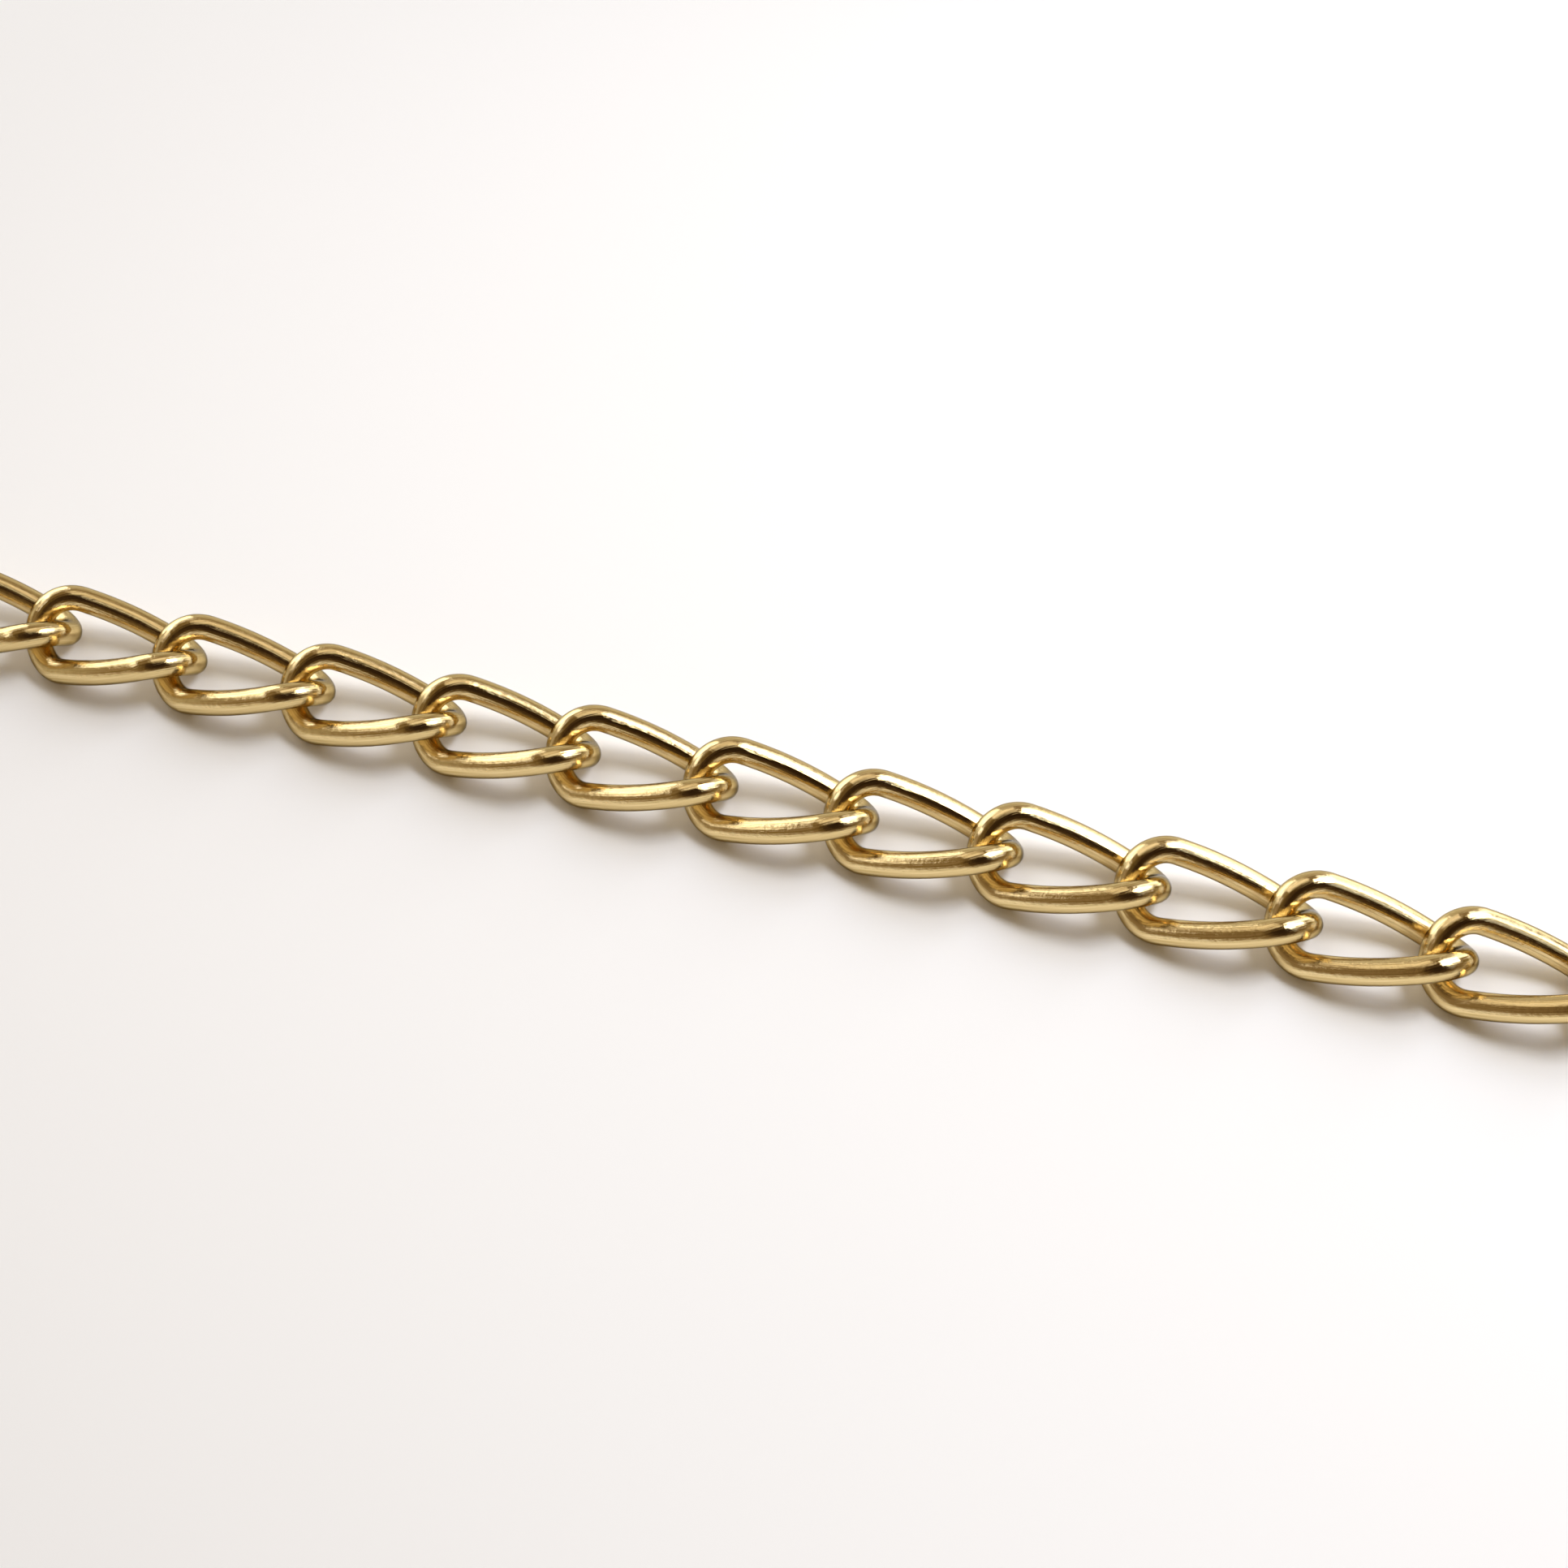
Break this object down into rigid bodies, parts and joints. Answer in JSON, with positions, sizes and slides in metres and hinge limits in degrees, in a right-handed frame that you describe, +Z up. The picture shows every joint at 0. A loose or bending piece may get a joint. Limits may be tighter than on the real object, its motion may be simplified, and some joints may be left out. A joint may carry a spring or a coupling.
{
  "type": "pocket watch chain",
  "caption": "Polished gold curb chain for a pocket watch, with a T-bar for the waistcoat buttonhole and a sprung swivel clip for the watch's bow.",
  "frame": {"origin": "on the surface the chain lies on, under the centre of its box", "axes": "+X along the straight run of links from the T-bar's half to the clip's half, +Y from the two curled ends towards the straight run, +Z up"},
  "size_m": [0.1698, 0.073, 0.0037],
  "materials": {
    "gold_plate": "polished gold plate on brass",
    "spring_steel": "bright spring steel"
  },
  "bodies": {
    "link_01": {"link_01": "gold_plate"},
    "link_02": {"link_02": "gold_plate"},
    "link_03": {"link_03": "gold_plate"},
    "link_04": {"link_04": "gold_plate"},
    "link_05": {"link_05": "gold_plate"},
    "link_06": {"link_06": "gold_plate"},
    "link_07": {"link_07": "gold_plate"},
    "link_08": {"link_08": "gold_plate"},
    "link_09": {"link_09": "gold_plate"},
    "link_10": {"link_10": "gold_plate"},
    "link_11": {"link_11": "gold_plate"},
    "link_12": {"link_12": "gold_plate"},
    "link_13": {"link_13": "gold_plate"},
    "link_14": {"link_14": "gold_plate"},
    "link_15": {"link_15": "gold_plate"},
    "link_16": {"link_16": "gold_plate"},
    "link_17": {"link_17": "gold_plate"},
    "link_18": {"link_18": "gold_plate"},
    "link_19": {"link_19": "gold_plate"},
    "link_20": {"link_20": "gold_plate"},
    "link_21": {"link_21": "gold_plate"},
    "link_22": {"link_22": "gold_plate"},
    "link_23": {"link_23": "gold_plate"},
    "link_24": {"link_24": "gold_plate"},
    "link_25": {"link_25": "gold_plate"},
    "link_26": {"link_26": "gold_plate"},
    "link_27": {"link_27": "gold_plate"},
    "link_28": {"link_28": "gold_plate"},
    "link_29": {"link_29": "gold_plate"},
    "link_30": {"link_30": "gold_plate"},
    "link_31": {"link_31": "gold_plate"},
    "link_32": {"link_32": "gold_plate"},
    "link_33": {"link_33": "gold_plate"},
    "link_34": {"link_34": "gold_plate"},
    "link_35": {"link_35": "gold_plate"},
    "link_36": {"link_36": "gold_plate"},
    "link_37": {"link_37": "gold_plate"},
    "link_38": {"link_38": "gold_plate"},
    "link_39": {"link_39": "gold_plate"},
    "t_bar": {"t_bar": "gold_plate", "t_bar_loop": "gold_plate"},
    "swivel_eye": {"swivel_eye": "gold_plate"},
    "clip": {"clip_body": "gold_plate", "trigger_pin": "gold_plate", "trigger_spring": "spring_steel"},
    "trigger": {"trigger": "gold_plate"}
  },
  "joints": [
    {"name": "swing_20_21", "type": "hinge", "parent": "link_20", "child": "link_21", "pos_m": [0.00307, 0.03376, 0.00183], "axis": [0, 0.6554, 0.7553], "range_deg": [-75, 75]},
    {"name": "swing_21_22", "type": "hinge", "parent": "link_21", "child": "link_22", "pos_m": [0.01221, 0.03376, 0.00183], "axis": [0, -0.6554, 0.7553], "range_deg": [-75, 75]},
    {"name": "swing_22_23", "type": "hinge", "parent": "link_22", "child": "link_23", "pos_m": [0.01835, 0.03376, 0.00183], "axis": [0, -0.6554, -0.7553], "range_deg": [-75, 75]},
    {"name": "swing_23_24", "type": "hinge", "parent": "link_23", "child": "link_24", "pos_m": [0.02749, 0.03376, 0.00183], "axis": [0, 0.6554, -0.7553], "range_deg": [-75, 75]},
    {"name": "swing_24_25", "type": "hinge", "parent": "link_24", "child": "link_25", "pos_m": [0.03363, 0.03376, 0.00183], "axis": [0, 0.6554, 0.7553], "range_deg": [-75, 75]},
    {"name": "swing_25_26", "type": "hinge", "parent": "link_25", "child": "link_26", "pos_m": [0.04277, 0.03376, 0.00183], "axis": [0, -0.6554, 0.7553], "range_deg": [-75, 75]},
    {"name": "swing_26_27", "type": "hinge", "parent": "link_26", "child": "link_27", "pos_m": [0.04891, 0.03376, 0.00183], "axis": [0, -0.6554, -0.7553], "range_deg": [-75, 75]},
    {"name": "swing_27_28", "type": "hinge", "parent": "link_27", "child": "link_28", "pos_m": [0.05805, 0.03376, 0.00183], "axis": [0, 0.6554, -0.7553], "range_deg": [-115, 45]},
    {"name": "swing_28_29", "type": "hinge", "parent": "link_28", "child": "link_29", "pos_m": [0.06384, 0.03221, 0.00183], "axis": [0.3277, 0.5676, 0.7553], "range_deg": [-45, 115]},
    {"name": "swing_29_30", "type": "hinge", "parent": "link_29", "child": "link_30", "pos_m": [0.07176, 0.02764, 0.00183], "axis": [-0.3277, -0.5676, 0.7553], "range_deg": [-45, 115]},
    {"name": "swing_30_31", "type": "hinge", "parent": "link_30", "child": "link_31", "pos_m": [0.07599, 0.0234, 0.00183], "axis": [-0.5676, -0.3277, -0.7553], "range_deg": [-115, 45]},
    {"name": "swing_31_32", "type": "hinge", "parent": "link_31", "child": "link_32", "pos_m": [0.08056, 0.01549, 0.00183], "axis": [0.5676, 0.3277, -0.7553], "range_deg": [-115, 45]},
    {"name": "swing_32_33", "type": "hinge", "parent": "link_32", "child": "link_33", "pos_m": [0.08212, 0.0097, 0.00183], "axis": [0.6554, 0, 0.7553], "range_deg": [-45, 115]},
    {"name": "swing_33_34", "type": "hinge", "parent": "link_33", "child": "link_34", "pos_m": [0.08212, 0.00056, 0.00183], "axis": [-0.6554, 0, 0.7553], "range_deg": [-45, 115]},
    {"name": "swing_34_35", "type": "hinge", "parent": "link_34", "child": "link_35", "pos_m": [0.08056, -0.00524, 0.00183], "axis": [-0.5676, 0.3277, -0.7553], "range_deg": [-115, 45]},
    {"name": "swing_35_36", "type": "hinge", "parent": "link_35", "child": "link_36", "pos_m": [0.07599, -0.01315, 0.00183], "axis": [0.5676, -0.3277, -0.7553], "range_deg": [-115, 45]},
    {"name": "swing_36_37", "type": "hinge", "parent": "link_36", "child": "link_37", "pos_m": [0.07176, -0.01739, 0.00183], "axis": [0.3277, -0.5676, 0.7553], "range_deg": [-45, 115]},
    {"name": "swing_37_38", "type": "hinge", "parent": "link_37", "child": "link_38", "pos_m": [0.06384, -0.02196, 0.00183], "axis": [-0.3277, 0.5676, 0.7553], "range_deg": [-45, 115]},
    {"name": "swing_38_39", "type": "hinge", "parent": "link_38", "child": "link_39", "pos_m": [0.05805, -0.02351, 0.00183], "axis": [0, 0.6554, -0.7553], "range_deg": [-115, 45]},
    {"name": "swing_20_19", "type": "hinge", "parent": "link_20", "child": "link_19", "pos_m": [-0.00307, 0.03376, 0.00183], "axis": [0, 0.6554, -0.7553], "range_deg": [-75, 75]},
    {"name": "swing_19_18", "type": "hinge", "parent": "link_19", "child": "link_18", "pos_m": [-0.01221, 0.03376, 0.00183], "axis": [0, -0.6554, -0.7553], "range_deg": [-75, 75]},
    {"name": "swing_18_17", "type": "hinge", "parent": "link_18", "child": "link_17", "pos_m": [-0.01835, 0.03376, 0.00183], "axis": [0, -0.6554, 0.7553], "range_deg": [-75, 75]},
    {"name": "swing_17_16", "type": "hinge", "parent": "link_17", "child": "link_16", "pos_m": [-0.02749, 0.03376, 0.00183], "axis": [0, 0.6554, 0.7553], "range_deg": [-75, 75]},
    {"name": "swing_16_15", "type": "hinge", "parent": "link_16", "child": "link_15", "pos_m": [-0.03363, 0.03376, 0.00183], "axis": [0, 0.6554, -0.7553], "range_deg": [-75, 75]},
    {"name": "swing_15_14", "type": "hinge", "parent": "link_15", "child": "link_14", "pos_m": [-0.04277, 0.03376, 0.00183], "axis": [0, -0.6554, -0.7553], "range_deg": [-75, 75]},
    {"name": "swing_14_13", "type": "hinge", "parent": "link_14", "child": "link_13", "pos_m": [-0.04891, 0.03376, 0.00183], "axis": [0, -0.6554, 0.7553], "range_deg": [-75, 75]},
    {"name": "swing_13_12", "type": "hinge", "parent": "link_13", "child": "link_12", "pos_m": [-0.05805, 0.03376, 0.00183], "axis": [0, 0.6554, 0.7553], "range_deg": [-115, 45]},
    {"name": "swing_12_11", "type": "hinge", "parent": "link_12", "child": "link_11", "pos_m": [-0.06384, 0.03221, 0.00183], "axis": [-0.3277, 0.5676, -0.7553], "range_deg": [-45, 115]},
    {"name": "swing_11_10", "type": "hinge", "parent": "link_11", "child": "link_10", "pos_m": [-0.07176, 0.02764, 0.00183], "axis": [0.3277, -0.5676, -0.7553], "range_deg": [-45, 115]},
    {"name": "swing_10_09", "type": "hinge", "parent": "link_10", "child": "link_09", "pos_m": [-0.07599, 0.0234, 0.00183], "axis": [0.5676, -0.3277, 0.7553], "range_deg": [-115, 45]},
    {"name": "swing_09_08", "type": "hinge", "parent": "link_09", "child": "link_08", "pos_m": [-0.08056, 0.01549, 0.00183], "axis": [-0.5676, 0.3277, 0.7553], "range_deg": [-115, 45]},
    {"name": "swing_08_07", "type": "hinge", "parent": "link_08", "child": "link_07", "pos_m": [-0.08212, 0.0097, 0.00183], "axis": [-0.6554, 0, -0.7553], "range_deg": [-45, 115]},
    {"name": "swing_07_06", "type": "hinge", "parent": "link_07", "child": "link_06", "pos_m": [-0.08212, 0.00056, 0.00183], "axis": [0.6554, 0, -0.7553], "range_deg": [-45, 115]},
    {"name": "swing_06_05", "type": "hinge", "parent": "link_06", "child": "link_05", "pos_m": [-0.08056, -0.00524, 0.00183], "axis": [0.5676, 0.3277, 0.7553], "range_deg": [-115, 45]},
    {"name": "swing_05_04", "type": "hinge", "parent": "link_05", "child": "link_04", "pos_m": [-0.07599, -0.01315, 0.00183], "axis": [-0.5676, -0.3277, 0.7553], "range_deg": [-115, 45]},
    {"name": "swing_04_03", "type": "hinge", "parent": "link_04", "child": "link_03", "pos_m": [-0.07176, -0.01739, 0.00183], "axis": [-0.3277, -0.5676, -0.7553], "range_deg": [-45, 115]},
    {"name": "swing_03_02", "type": "hinge", "parent": "link_03", "child": "link_02", "pos_m": [-0.06384, -0.02196, 0.00183], "axis": [0.3277, 0.5676, -0.7553], "range_deg": [-45, 115]},
    {"name": "swing_02_01", "type": "hinge", "parent": "link_02", "child": "link_01", "pos_m": [-0.05805, -0.02351, 0.00183], "axis": [0, 0.6554, 0.7553], "range_deg": [-115, 45]},
    {"name": "t_bar_swing", "type": "hinge", "parent": "link_01", "child": "t_bar", "pos_m": [-0.04766, -0.02351, 0.00183], "axis": [0, 0.342, -0.9397], "range_deg": [-100, 100]},
    {"name": "swivel_swing", "type": "hinge", "parent": "link_39", "child": "swivel_eye", "pos_m": [0.04891, -0.02351, 0.00183], "axis": [0, 0.6554, 0.7553], "range_deg": [-100, 100]},
    {"name": "swivel_turn", "type": "hinge", "parent": "swivel_eye", "child": "clip", "pos_m": [0.04503, -0.02351, 0.00183], "axis": [-1, 0, 0], "continuous": true},
    {"name": "trigger_open", "type": "hinge", "parent": "clip", "child": "trigger", "pos_m": [0.03764, -0.02211, 0.00183], "axis": [0, 0, 1], "range_deg": [0, 35], "stiffness_Nm_per_rad": 0.001, "springref_deg": -28.65, "deforming": ["trigger_spring"]}
  ]
}
